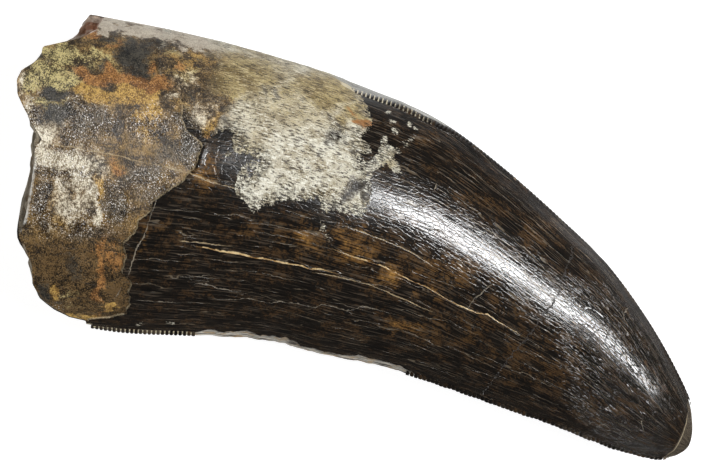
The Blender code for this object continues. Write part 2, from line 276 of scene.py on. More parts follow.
# Stains, and patches that paint light: the palest root patches are partly painted sheen and highlight, and
# the band along the root's top edge is a painted reflection. Each is (x, y, reach along x, reach along y,
# strength).
STAINS_AND_SHEEN_PX = {
    "soot": [
        (107, 36, 14, 6, 0.8), (137, 54, 14, 15, 1.1), (158, 46, 14, 8, 0.8), (138, 70, 12, 6, 0.9),
        (100, 64, 18, 3, 0.6), (36, 62, 14, 5, 0.9), (60, 96, 16, 8, 1.3), (75, 60, 8, 4, 0.4),
        (188, 94, 5, 8, 0.8), (200, 62, 10, 5, 0.6), (216, 52, 6, 10, 0.5), (186, 60, 10, 4, 0.6),
        (72, 270, 10, 12, 0.7), (44, 292, 8, 14, 0.9), (60, 310, 12, 4, 0.5), (61, 116, 12, 7, 1.0),
        (187, 140, 10, 20, 0.6),
    ],
    "dusk": [
        (64, 117, 14, 8, 1.1), (88, 122, 20, 20, 0.9), (94, 104, 12, 6, 0.6), (188, 136, 12, 26, 1.1),
        (170, 160, 24, 9, 0.9), (41, 201, 9, 15, 1.0), (40, 224, 8, 8, 0.8), (70, 186, 6, 4, 0.8),
        (112, 206, 13, 22, 1.0), (90, 234, 18, 8, 0.8), (140, 176, 24, 10, 0.8), (150, 196, 20, 14, 0.6),
        (212, 96, 10, 8, 0.7), (206, 76, 8, 6, 0.6), (226, 130, 12, 6, 0.7), (240, 104, 10, 6, 0.5),
        (300, 140, 14, 6, 0.5), (330, 140, 12, 8, 0.7), (262, 76, 8, 6, 0.5), (272, 66, 16, 4, 0.5),
        (284, 94, 5, 4, 1.0), (331, 113, 4, 3, 1.0), (341, 124, 5, 4, 1.1), (338, 136, 4, 4, 0.9),
        (290, 162, 4, 3, 0.8), (312, 154, 4, 3, 0.8), (293, 194, 3, 3, 0.8), (268, 90, 5, 4, 0.9),
        (357, 147, 4, 4, 1.0), (349, 168, 4, 3, 0.8), (354, 194, 12, 7, 1.7), (342, 199, 8, 5, 1.4),
        (208, 150, 10, 6, 0.6), (300, 100, 4, 3, 0.8), (374, 162, 5, 4, 0.8),
    ],
    "rust": [
        (88, 71, 12, 7, 1.1), (106, 74, 16, 8, 1.3), (128, 78, 18, 8, 1.3), (150, 84, 18, 7, 1.3),
        (168, 88, 12, 7, 0.7), (117, 46, 9, 4, 0.7), (150, 66, 9, 5, 0.8), (120, 164, 10, 8, 0.8),
        (101, 276, 5, 40, 0.9), (116, 262, 10, 16, 0.6), (206, 166, 12, 14, 0.7), (178, 66, 8, 8, 0.6),
        (210, 142, 8, 10, 0.6), (351, 112, 5, 4, 1.2), (362, 124, 4, 6, 1.2), (357, 118, 4, 4, 0.8),
        (170, 40, 22, 5, 0.4), (95, 24, 9, 9, 1.2),
    ],
    "honey": [
        (136, 95, 24, 9, 1.2), (92, 93, 20, 7, 1.2), (150, 120, 26, 18, 0.5), (97, 186, 5, 14, 1.0),
        (98, 208, 5, 12, 0.9), (57, 296, 5, 9, 1.3), (185, 110, 6, 6, 1.0), (60, 196, 12, 12, 0.5),
        (190, 60, 18, 10, 0.7), (204, 58, 12, 8, 0.6), (250, 68, 22, 8, 0.9), (62, 222, 14, 8, 0.6),
        (150, 140, 20, 10, 0.35), (100, 319, 28, 3.5, 1.4), (212, 128, 10, 10, 0.8),
    ],
    # pale stain, in part a painted sheen and glitter on the root's glossy middle
    "bleach_and_sheen": [
        (60, 160, 24, 13, 1.0), (86, 164, 18, 14, 0.9), (66, 190, 18, 14, 0.7), (74, 210, 18, 16, 0.7),
        (40, 156, 8, 16, 0.9), (46, 134, 12, 16, 0.8), (54, 128, 14, 12, 0.6), (36, 112, 8, 14, 0.6),
        (200, 112, 16, 16, 0.6), (186, 86, 18, 12, 0.5), (26, 78, 6, 14, 0.6), (46, 226, 10, 6, 0.5),
        # the last three paint a highlight along a curved crest
        (170, 101, 14, 5, 0.6), (84, 181, 5, 8, 1.2), (90, 197, 4, 10, 1.3), (94, 217, 3.5, 11, 1.2),
    ],
    "lichen": [
        (64, 54, 26, 12, 1.0), (38, 76, 14, 14, 0.9), (60, 80, 24, 12, 1.1), (90, 58, 14, 8, 0.7),
        (112, 62, 14, 6, 0.6), (52, 106, 14, 6, 0.8), (70, 106, 10, 5, 0.7), (150, 62, 10, 6, 0.4),
        (185, 76, 24, 12, 0.5), (170, 52, 24, 8, 0.4), (240, 92, 24, 12, 0.5), (70, 302, 14, 8, 0.5),
    ],
    "umber": [
        (80, 275, 46, 34, 1.2), (50, 262, 26, 24, 0.9), (118, 290, 22, 34, 0.9), (100, 245, 34, 10, 0.8),
        (70, 300, 40, 16, 0.9), (180, 48, 18, 6, 0.4), (158, 52, 16, 10, 0.5),
    ],
    "glint": [
        (90, 125, 28, 26, 1.0), (60, 165, 34, 28, 1.0), (110, 205, 26, 32, 0.9), (155, 185, 34, 22, 0.8),
        (188, 140, 14, 28, 1.2), (150, 125, 26, 22, 0.8), (40, 210, 12, 26, 1.0), (36, 130, 12, 40, 1.0),
        (320, 180, 60, 24, 0.9), (376, 170, 16, 12, 0.9), (80, 225, 30, 16, 0.7), (56, 314, 14, 5, 0.6),
    ],
    "amber": [
        (350, 250, 22, 14, 1.1), (305, 245, 12, 9, 0.9), (389, 279, 14, 12, 0.9),
        (426, 292, 12, 10, 0.8), (405, 328, 16, 9, 0.8), (330, 240, 60, 20, 0.5),
        (440, 268, 50, 22, 0.5), (205, 172, 12, 16, 0.9), (222, 158, 12, 8, 0.5),
        (476, 206, 40, 14, 0.3), (545, 234, 30, 16, 0.3), (540, 360, 60, 34, 0.27),
        (455, 335, 40, 18, 0.35), (600, 412, 40, 16, 0.27), (170, 228, 14, 8, 0.5),
        (240, 228, 20, 8, 0.4), (424, 142, 16, 8, 0.3), (345, 232, 24, 9, 0.7), (500, 300, 40, 16, 0.3),
        (142, 236, 6, 14, 0.6),
    ],
    "warm": [
        (230, 75, 60, 26, 1.0), (330, 90, 50, 16, 0.9), (355, 116, 16, 14, 0.9),
        (290, 110, 60, 22, 0.55), (212, 116, 14, 14, 0.8), (390, 160, 12, 10, 0.5),
        (250, 140, 24, 16, 0.5), (345, 190, 14, 12, 0.3),
    ],
    # a painted reflection of the bright surroundings along the root's top edge
    "painted_sheen": [
        (108, 22, 14, 7, 1.6), (135, 27, 20, 7, 1.6), (165, 34, 20, 7, 1.6), (200, 42, 22, 7, 1.5),
        (235, 50, 22, 6, 1.2), (270, 58, 20, 5, 1.0),
    ],
    "meld": [(185, 70, 32, 40, 1.3), (206, 112, 22, 28, 1.2)],
}
PATCH_FALL = 0.7  # a patch fades as exp(-fall * (share of its reach) ** (2 * power))
PATCH_POWER = 1.3
PATCH_WAVE = 3.0
PATCH_SHAKE = 1.5  # how far a patch's outline strays from its round form, in millimetres

RIM_HIGHLIGHT_PX = (148, 240)  # where the painted highlight along the broken rim begins and ends, down the photograph
RIM_HIGHLIGHT_FADE_PX = 6
RIM_HIGHLIGHT_SHIFT = 2.0  # millimetres by which the rim is moved off where the painted highlight doesn't show

# Flakes off the rear edge: how far each reaches inwards, in millimetres, against x in the photograph.
CHIP_REACH = [
    (190, 0.0), (199, 0.25), (212, 0.45), (226, 0.35), (243, 0.55), (258, 0.4), (270, 0.35), (284, 0.45),
    (294, 0.4), (301, 0.15), (325, 0.15), (350, 0.2), (360, 0.45), (368, 0.35), (380, 0.35), (396, 0.4),
    (408, 0.2), (420, 0.0),
]
# Against the station: the pale gaps between denticles, and the front keel's pale far side.
FRONT_SLITS = [(0.34, 0.0), (0.35, 1.0), (0.385, 1.0), (0.40, 0.45), (0.45, 0.4), (0.47, 0.0)]
REAR_SLITS = [(0.085, 0.0), (0.10, 1.0), (0.222, 1.0), (0.236, 0.0)]
FAR_KEEL = [(0.32, 0.0), (0.35, 1.0), (0.465, 1.0), (0.48, 0.45), (0.56, 0.3), (0.85, 0.3), (0.95, 0.6)]
# How far the front denticles lie up the keel's upper flank, as an angle from its crest.
FRONT_COMB = [(0.33, 0.04), (0.40, 0.07), (0.44, 0.10), (0.465, 0.08), (0.49, 0.0)]
REAR_COMB = [(0.0, 0.0), (1.0, 0.0)]  # the rear ones lie on the crest
# How far from the crest the gaps and the front keel's far side reach, as angles.
FRONT_SLIT_REACH = (0.06, 0.035)
REAR_SLIT_REACH = (0.16, 0.11)
FAR_KEEL_START = (0.03, 0.06)
FAR_KEEL_END = (0.42, 0.30)

# Floor, light and camera. Places and sizes are in metres; the lens, its sensor and the level in millimetres.
WHITE = (1.0, 1.0, 1.0, 1.0)
FLOOR_SIZE = 24.0
FLOOR_COLOUR = (0.30, 0.30, 0.30, 1.0)
FLOOR_ROUGHNESS = 0.9
FLOOR_GLOW = 0.98
STRIP_CENTRE = (0.74, 0.05, 1.0)  # a long strip light overhead, towards the tip
STRIP_SIZE = (1.02, 0.22)
STRIP_POWER = 20.5
WALL_LEVEL = 1.3  # brightness of the pale surroundings that the front edge mirrors
ROOM_LEVEL = 0.035
WALL_FADES = [("X", 0.62, 0.25), ("Y", 0.0, 0.65), ("Z", -0.12, -0.9)]  # its edges, by direction of view
LENS = 750.0
SENSOR = 36.0
FRAME_WIDTH_PX = 708
FRAME_HEIGHT_PX = 472
VIEW_LEVEL = 11.0  # above the floor, where the outline is widest


def to_mm(place_px):
    """A place in the photograph as millimetres on the plan."""
    x, y = place_px
    return (x - PHOTO_ORIGIN_PX[0]) / PX_PER_MM, (PHOTO_ORIGIN_PX[1] - y) / PX_PER_MM


def along(pairs, x):
    """The value at x on a line through pairs of (place, value)."""
    places, values = zip(*pairs)
    return np.interp(x, places, values)


def smooth(low, high, x):
    """0 at low, 1 at high, and an even slope between; low may be the larger one."""
    s = np.clip((x - low) / (high - low), 0, 1)
    return s * s * (3 - 2 * s)


def wrapped(angle):
    """The same angle, between -pi and pi."""
    return (angle + math.pi) % (2 * math.pi) - math.pi


def run_along(points):
    """The distance along a line of points, at each of them."""
    return np.concatenate([[0], np.cumsum(np.linalg.norm(np.diff(points, axis=0), axis=1))])


def fractal(points, wavelength, octaves=4, seed=0.0):
    """Seeded noise of about -1 to 1 at each point."""
    offset = Vector((seed, seed * 1.7, -seed))
    rows = (np.asarray(points).reshape(-1, 3) / wavelength).tolist()
    values = [noise.fractal(Vector(row) + offset, 1.0, 2.0, octaves) for row in rows]
    return np.array(values).reshape(np.asarray(points).shape[:-1])


def fractal_along(run, wavelength, octaves, seed):
    """The same noise for distances along one line."""
    nowhere = np.zeros(np.shape(run))
    return fractal(np.stack([run, nowhere, nowhere], axis=-1), wavelength, octaves, seed)


def spline(knots, points, x):
    """A smooth curve through the points, at x: cubic pieces with their neighbours' chords as slopes."""
    knots = np.asarray(knots, float)
    points = np.asarray(points, float).reshape(len(knots), -1)
    slopes = np.gradient(points, knots, axis=0)
    x = np.clip(np.atleast_1d(x), knots[0], knots[-1])
    left = np.clip(np.searchsorted(knots, x, side="right") - 1, 0, len(knots) - 2)
    width = (knots[left + 1] - knots[left])[:, None]
    s = (x - knots[left])[:, None] / width
    return (
        (1 + 2 * s) * (1 - s) ** 2 * points[left]
        + s * (1 - s) ** 2 * width * slopes[left]
        + s * s * (3 - 2 * s) * points[left + 1]
        + s * s * (s - 1) * width * slopes[left + 1]
    )


STATIONS = np.linspace(0, 1, len(FRONT_EDGE) + 1)
OUTLINE = FRONT_EDGE + [TIP] + REAR_EDGE[::-1]
OUTLINE_KNOTS = np.concatenate([STATIONS, 2 - STATIONS[-2::-1]])


def cross_lines(t):
    """Each section's middle from above, its half width, and the direction across it to the front edge."""
    front = spline(OUTLINE_KNOTS, OUTLINE, t)
    rear = spline(OUTLINE_KNOTS, OUTLINE, 2 - np.atleast_1d(t))
    half = np.linalg.norm(front - rear, axis=1) / 2
    across = (front - rear) / np.maximum(2 * half, 1e-9)[:, None]
    return (front + rear) / 2, half, across


def turned(t, theta):
    """The angle round the section, with the front cutting edge turned onto the upper face."""
    return theta + along(FRONT_TURN, t) * np.maximum(np.cos(theta), 0) ** 2


def keel_shape(theta):
    """1 on the cutting edge at angle 0, falling to 0 beside it."""
    return np.exp(-((np.abs(wrapped(theta)) / KEEL_SPREAD) ** KEEL_POWER))


def surface(t, theta, worn_front=0.0, worn_rear=0.0):
    """Points of the tooth's skin in millimetres. theta is 0 on the front edge and pi on the rear one."""
    shape = np.broadcast(t, theta).shape
    t, theta = (np.broadcast_to(v, shape).astype(float).ravel() for v in (t, theta))
    worn_front, worn_rear = (np.broadcast_to(v, shape).ravel() for v in (worn_front, worn_rear))
    middle, half, across = cross_lines(t)
    angle = turned(t, theta)
    a, b = np.cos(angle), np.sin(angle)
    front_keel, rear_keel = KEEL_HEIGHT * along(FRONT_KEEL, t), KEEL_HEIGHT * along(REAR_KEEL, t)
    front_crest, rear_crest = keel_shape(theta), keel_shape(theta - math.pi)
    keel = (front_keel - worn_front) * front_crest + (rear_keel - worn_rear) * rear_crest
    front_room = np.maximum(front_keel - half * (1 - np.cos(along(FRONT_TURN, t))), 0)
    room = np.where(a > 0, front_room, rear_keel) * np.minimum(1, half / (4 * KEEL_HEIGHT))
    out = (np.maximum(half - room, 0) + np.minimum(keel, half)) * a
    pinch = np.abs(b) ** (REAR_PINCH * (1 - a) / 2)
    rise = spline(STATIONS, RISE, t)[:, 0] * (1 + TOP_SKEW * a)
    drop = spline(STATIONS, DROP, t)[:, 0] * (1 + BELLY_SKEW * a)
    height = np.where(b > 0, rise, drop) * b * pinch + keel * b
    flat = middle + across * out[:, None]
    z = spline(STATIONS, MIDDLE_Z, t)[:, 0] + height
    return np.column_stack([flat, z]).reshape(shape + (3,))


FINE_T = np.linspace(0, 1, 4001)
FINE_RUN = run_along(cross_lines(FINE_T)[0])
LENGTH = FINE_RUN[-1]


def placed(line, last=NEAR_TIP):
    """A line on the plan, as its places across the tooth (-1 rear, 1 front) and its stations below last."""
    t = FINE_T[: int(last * len(FINE_T))]
    middle, half, across = cross_lines(t)
    places = []
    for point in line:
        reach = np.array(point) - middle
        off = np.abs(reach[:, 0] * across[:, 1] - reach[:, 1] * across[:, 0])
        off[np.linalg.norm(reach, axis=1) > half + OUTLINE_MARGIN] = np.inf
        nearest = off.argmin()
        places.append((reach[nearest] @ across[nearest] / half[nearest], t[nearest]))
    return np.array(places)


def unrolled(line_px):
    """A line of the photograph on the unrolled skin: distances along the tooth and from its front edge."""
    place, t = placed([to_mm(p) for p in line_px]).T
    return np.column_stack([np.interp(t, FINE_T, FINE_RUN), GIRTH * np.arccos(np.clip(place, -1, 1))])


def by_face(theta, upper, under):
    """For each angle, the station of a line that is drawn on each face."""
    stations = []
    for line in (upper, under):
        place, t = np.array(sorted(placed(line, ROOT_END).tolist())).T
        stations.append(np.interp(np.cos(theta), place, t))
    return np.where(np.sin(theta) >= 0, *stations)


def from_line(points, line):
    """Each point's distance from a line of pieces, positive on its left, and its share of the way along."""
    best = np.full(len(points), np.inf)
    signed = np.zeros(len(points))
    share = np.zeros(len(points))
    starts = run_along(line)
    for i, step in enumerate(np.diff(starts)):
        way = (line[i + 1] - line[i]) / step
        reach = points - line[i]
        run = np.clip(reach @ way, 0, step)
        off = np.linalg.norm(reach - run[:, None] * way, axis=1)
        side = np.where(way[0] * reach[:, 1] - way[1] * reach[:, 0] >= 0, 1.0, -1.0)
        nearer = off < best
        best = np.where(nearer, off, best)
        signed = np.where(nearer, off * side, signed)
        share = np.where(nearer, (starts[i] + run) / starts[-1], share)
    return signed, share


def inside(points, loop):
    """Whether each point lies in a closed loop."""
    x, y = points.T
    found = np.zeros(len(points), bool)
    for (ax, ay), (bx, by) in zip(loop, np.roll(loop, -1, axis=0)):
        crosses = (ay > y) != (by > y)
        if ay != by:
            found ^= crosses & (x < (bx - ax) * (y - ay) / (by - ay) + ax)
    return found


def patch_strength(plan, patches):
    """How strongly the patches of one colour lie on each place of the plan, from 0 to about 1."""
    total = np.zeros(len(plan))
    for x, y, reach_x, reach_y, strength in patches:
        cx, cy = to_mm((x, y))
        off = ((plan[:, 0] - cx) * PX_PER_MM / reach_x) ** 2 + ((plan[:, 1] - cy) * PX_PER_MM / reach_y) ** 2
        total = np.maximum(total, strength * np.exp(-PATCH_FALL * off**PATCH_POWER))
    return total


def spots(points, patches):
    """Signed distance into the nearest of several round spots on the unrolled skin."""
    deep = np.full(len(points), FAR_OFF)
    for x, y, radius in patches:
        off = np.linalg.norm(points - unrolled([(x, y)])[0], axis=1)
        deep = np.maximum(deep, radius / PX_PER_MM - off)
    return deep


def crack(points, courses):
    """For the nearest crack: signed distance, half its width (0 away from it) and its share along."""
    best = np.full(len(points), np.inf)
    out = np.zeros((len(points), 3))
    for width, course in courses:
        signed, share = from_line(points, unrolled(course))
        ends = np.clip(np.minimum(share, 1 - share) / CRACK_TAPER, 0.0, 1.0)
        kept = width * (CRACK_END + (1 - CRACK_END) * ends) * smooth(*CRACK_RANGE, np.abs(signed))
        nearer = np.abs(signed) < best
        best = np.where(nearer, np.abs(signed), best)
        out = np.where(nearer[:, None], np.column_stack([signed, kept, share]), out)
    return out


def enamel_line(theta):
    """Station of the enamel's ragged edge at each angle."""
    rim = by_face(theta, UPPER_RIM, UNDER_RIM)
    even = by_face(theta, UPPER_ENAMEL, UNDER_ENAMEL)
    places = np.column_stack([even * LENGTH, GIRTH * np.cos(theta), GIRTH * np.sin(theta)])
    ragged = ENAMEL_JAG * fractal(places, 1.5, 4, 6.0) / LENGTH
    return np.maximum(even + ragged, rim + 2 * LEDGE_SPAN)


def from_enamel(t, theta, skin):
    """Distance from the enamel's edge on the unrolled skin, positive on the enamel."""
    edge_theta = column_angles()
    edge_t = enamel_line(edge_theta)
    off = np.full(len(t), np.inf)
    for face in (edge_theta <= math.pi, edge_theta >= math.pi):
        angle = np.minimum(edge_theta[face], 2 * math.pi - edge_theta[face])
        line = np.column_stack([np.interp(edge_t[face], FINE_T, FINE_RUN), GIRTH * angle])
        here = np.abs(from_line(skin, line)[0])
        on_face = np.sin(theta) >= 0 if face[0] else np.sin(theta) <= 0
        off = np.where(on_face, np.minimum(off, here), off)
    edge = np.interp(theta % (2 * math.pi), np.append(edge_theta, 2 * math.pi), np.append(edge_t, edge_t[0]))
    return off * np.where(t >= edge, 1, -1)


def from_crust(skin):
    """Signed distance into the crust on the unrolled skin, with the bits beside it and the holes in it."""
    loop = unrolled(CRUST_PX)
    loop[loop[:, 1] < CRUST_AT_CREST, 1] -= CRUST_OVERHANG
    off = np.abs(from_line(skin, np.vstack([loop, loop[:1]]))[0])
    crust = np.maximum(off * np.where(inside(skin, loop), 1, -1), spots(skin, CRUST_BITS_PX))
    return np.minimum(crust, -spots(skin, CRUST_HOLES_PX))


def from_rim(run, theta, plan):
    """Distance from the broken rim, moved well off it where no painted highlight shows."""
    off = run - np.interp(by_face(theta, UPPER_RIM, UNDER_RIM), FINE_T, FINE_RUN)
    y_px = PHOTO_ORIGIN_PX[1] - plan[:, 1] * PX_PER_MM
    top, bottom = RIM_HIGHLIGHT_PX
    shown = smooth(top - RIM_HIGHLIGHT_FADE_PX, top + RIM_HIGHLIGHT_FADE_PX, y_px)
    shown = shown * smooth(bottom + RIM_HIGHLIGHT_FADE_PX, bottom - RIM_HIGHLIGHT_FADE_PX, y_px)
    return off + RIM_HIGHLIGHT_SHIFT * (1 - shown)


def on_plan(t, angle, under, grain):
    """Each point's place on the plan, shaken a little so that patches get ragged outlines."""
    middle, half, across = cross_lines(t)
    forward = np.column_stack([across[:, 1], -across[:, 0]])
    plan = middle + across * (half * np.cos(angle))[:, None] + forward * (UNDER_SHIFT * under)[:, None]
    shake = [fractal(grain, PATCH_WAVE, 4, seed) for seed in (31.0, 47.0)]
    return plan + PATCH_SHAKE * np.column_stack(shake)


def edge_marks(t, theta, angle, under):
    """Marks of the cutting edges: flakes, gaps between the denticles, and the front keel's far side."""
    below_crest = np.maximum(under - CREST_MARGIN, 0)
    chip = chip_reach(t) - cross_lines(t)[1] * (1 + np.cos(angle)) - CHIP_FADE * below_crest
    beyond = along(FRONT_COMB, t) - wrapped(theta)
    front_slit = along(FRONT_SLITS, t) * smooth(*FRONT_SLIT_REACH, np.abs(beyond))
    rear_slit = along(REAR_SLITS, t) * smooth(*REAR_SLIT_REACH, math.pi - np.abs(angle))
    far_keel = along(FAR_KEEL, t) * smooth(*FAR_KEEL_START, beyond) * smooth(*FAR_KEEL_END, beyond)
    return {"chip": chip, "slit": rear_slit + front_slit, "far_keel": far_keel}


def features(t, theta):
    """Where every mark lies, for points given by station and angle: named values for the material."""
    t, theta = np.ravel(t), np.ravel(theta)
    angle = wrapped(turned(t, theta))
    run = np.interp(t, FINE_T, FINE_RUN)
    under = np.maximum(-np.sin(angle), 0)
    skin = np.column_stack([run, GIRTH * np.abs(angle)])
    shifted = skin + np.column_stack([UNDER_SHIFT * under, np.zeros(len(t))])
    grain = np.column_stack([run, GIRTH * np.cos(theta), GIRTH * np.sin(theta)])
    plan = on_plan(t, angle, under, grain)
    found = {"grain": grain, "lane": skin[:, 1], "enamel": from_enamel(t, theta, skin)}
    found["crust"] = from_crust(shifted) - CRUST_FADE * under
    found["wear"] = np.where(t > WEAR_BEGINS, -from_line(skin, unrolled(TIP_WEAR_PX))[0], FAR_OFF)
    found["rim_highlight"] = from_rim(run, theta, plan)
    found.update(edge_marks(t, theta, angle, under))
    for name, courses in CRACKS_PX.items():
        found[name] = crack(skin if name == "dark" else shifted, courses)
        if name in UPPER_CRACKS:
            found[name][:, 1] *= smooth(*UPPER_ONLY, under)
    for name, patches in STAINS_AND_SHEEN_PX.items():
        found[name] = patch_strength(plan, patches)
    return found


def chip_reach(t):
    """How far the flakes off the rear edge reach inwards at each station, in millimetres."""
    x = spline(OUTLINE_KNOTS, OUTLINE, 2 - np.ravel(t))[:, 0]
    reach = along(CHIP_REACH, PHOTO_ORIGIN_PX[0] + x * PX_PER_MM)
    return (reach * (1 + CHIP_RAGGED * fractal_along(x, 0.9, 3, 15.0))).reshape(np.shape(t))


def column_angles():
    """Angles round the section, closer together at the two cutting edges, and finer on the upper face."""
    upper = np.arange(UPPER_COLUMNS) / UPPER_COLUMNS
    under = 1 + np.arange(UNDER_COLUMNS) / UNDER_COLUMNS
    even = math.pi * np.concatenate([upper, under])
    return even - CROWDING * np.sin(2 * even) / 2


def skin_stations(theta):
    """Stations of the skin's grid: rows over the root, over the enamel's ledge and over the crown."""
    rim = by_face(theta, UPPER_RIM, UNDER_RIM)
    enamel = enamel_line(theta)
    low, high = enamel - LEDGE_SPAN, enamel + LEDGE_SPAN
    rows = [rim + (low - rim) * s for s in np.linspace(0, 1, ROOT_ROWS)]
    rows += [low + (high - low) * s for s in np.linspace(0, 1, LEDGE_ROWS + 2)[1:-1]]
    rows += [high + (1 - high) * s for s in np.linspace(0, 1, CROWN_ROWS + 1)[:-1]]
    return np.array(rows)


def unit(rows):
    """Each row as a vector of length 1."""
    return rows / np.maximum(np.linalg.norm(rows, axis=-1, keepdims=True), 1e-9)


def grid_normals(points):
    """Outward normals of a grid of points whose columns close on themselves."""
    down = np.gradient(points, axis=0)
    beside = np.roll(points, -1, axis=1) - np.roll(points, 1, axis=1)
    return unit(np.cross(beside, down))


def worn_edges(t):
    """How much lower each crest is than the full keel: room for denticles, and what is broken off."""
    room = DENTICLE_HEIGHT * DENTICLE_ROOM
    front, rear = (room * np.clip(2 * along(sharp, t), 0, 1) for sharp in (FRONT_SHARPNESS, REAR_SHARPNESS))
    run = np.asarray(t) * LENGTH
    lost = CHIP_DEPTH * smooth(0.0, CHIP_FULL, chip_reach(t))
    rear = rear + lost + EDGE_WEAR * fractal_along(run, 1.6, 3, 5.0) * smooth(*REAR_WEAR, t)
    front = front + EDGE_WEAR * np.maximum(fractal_along(run, 3.0, 3, 9.0), 0) * smooth(*FRONT_WEAR, t)
    return front, rear


def relief(found, grain, shape):
    """How far the skin stands out from the plain form, in millimetres."""
    names = ("enamel", "crust", "wear", "chip", "meld", "lane")
    enamel, crust, wear, chip, meld, lane = (found[name].reshape(shape) for name in names)
    covered = smooth(*CRUST_COVER, crust) * smooth(*ROOT_COVER, enamel)
    soft = np.maximum(smooth(*MELD_SOFT, meld), smooth(*FRONT_SOFT, lane))
    crown = smooth(*LEDGE_RAMP, enamel) * (1 - soft) + smooth(*SOFT_LEDGE_RAMP, enamel) * soft
    lip = LIP_HEIGHT * np.exp(-(((enamel - LIP_PLACE) / LIP_WIDTH) ** 2)) * (1 - covered) * (1 - soft)
    swell = (SWELL * crown + ROOT_SWELL * (1 - crown)) * fractal(grain, 7.0, 3, 2.0)
    rough = ROOT_ROUGHNESS * (1 - crown) * fractal(grain, 1.1, 3, 3.0)
    cake = smooth(*CAKE_RAMP, crust) * (CRUST_HEIGHT + CRUST_LUMPS * fractal(grain, 0.9, 3, 4.0))
    cake = cake * smooth(*CAKE_ON_MELD, meld)
    lost = WEAR_RECESS * smooth(*WEAR_RAMP, wear) + CHIP_RECESS * smooth(*CHIP_RAMP, chip)
    return -ENAMEL_LEDGE * (1 - np.maximum(crown, covered)) + lip * crown + swell + rough + cake - lost


def new_mesh(name, points, faces, found, material):
    """A shaded piece from points in metres, with the material's named values on them."""
    mesh = bpy.data.meshes.new(name)
    mesh.from_pydata(points.tolist(), [], faces)
    for key, values in found.items():
        kind, field = ("FLOAT_VECTOR", "vector") if values.ndim == 2 else ("FLOAT", "value")
        attribute = mesh.attributes.new(key, kind, "POINT")
        attribute.data.foreach_set(field, values.astype(np.float32).ravel())
    mesh.materials.append(material)
    mesh.shade_smooth()
    mesh.update()
    piece = bpy.data.objects.new(name, mesh)
    bpy.context.scene.collection.objects.link(piece)
    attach(piece, "root")
    return piece


def grid_faces(rows, columns, flip=False):
    """Quads of a grid whose columns close on themselves."""
    index = np.arange(rows * columns).reshape(rows, columns)
    beside = np.roll(index, -1, axis=1)
    quads = np.stack([index[:-1], beside[:-1], beside[1:], index[1:]], axis=2).reshape(-1, 4)
    return (quads[:, ::-1] if flip else quads).tolist()


def placement(points):
    """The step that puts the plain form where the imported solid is."""
    low, high = points.reshape(-1, 3).min(0), points.reshape(-1, 3).max(0)
    cad_low, cad_high = (np.array(corner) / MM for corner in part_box("tooth"))
    step = (cad_low + cad_high - low - high) / 2
    step[2] = cad_low[2] - low[2] - FLAT_CUT
    return step


def rested(points):
    """Points in metres, with nothing below the resting surface."""
    metres = points * MM
    metres[..., 2] = np.maximum(metres[..., 2], 0)
    return metres


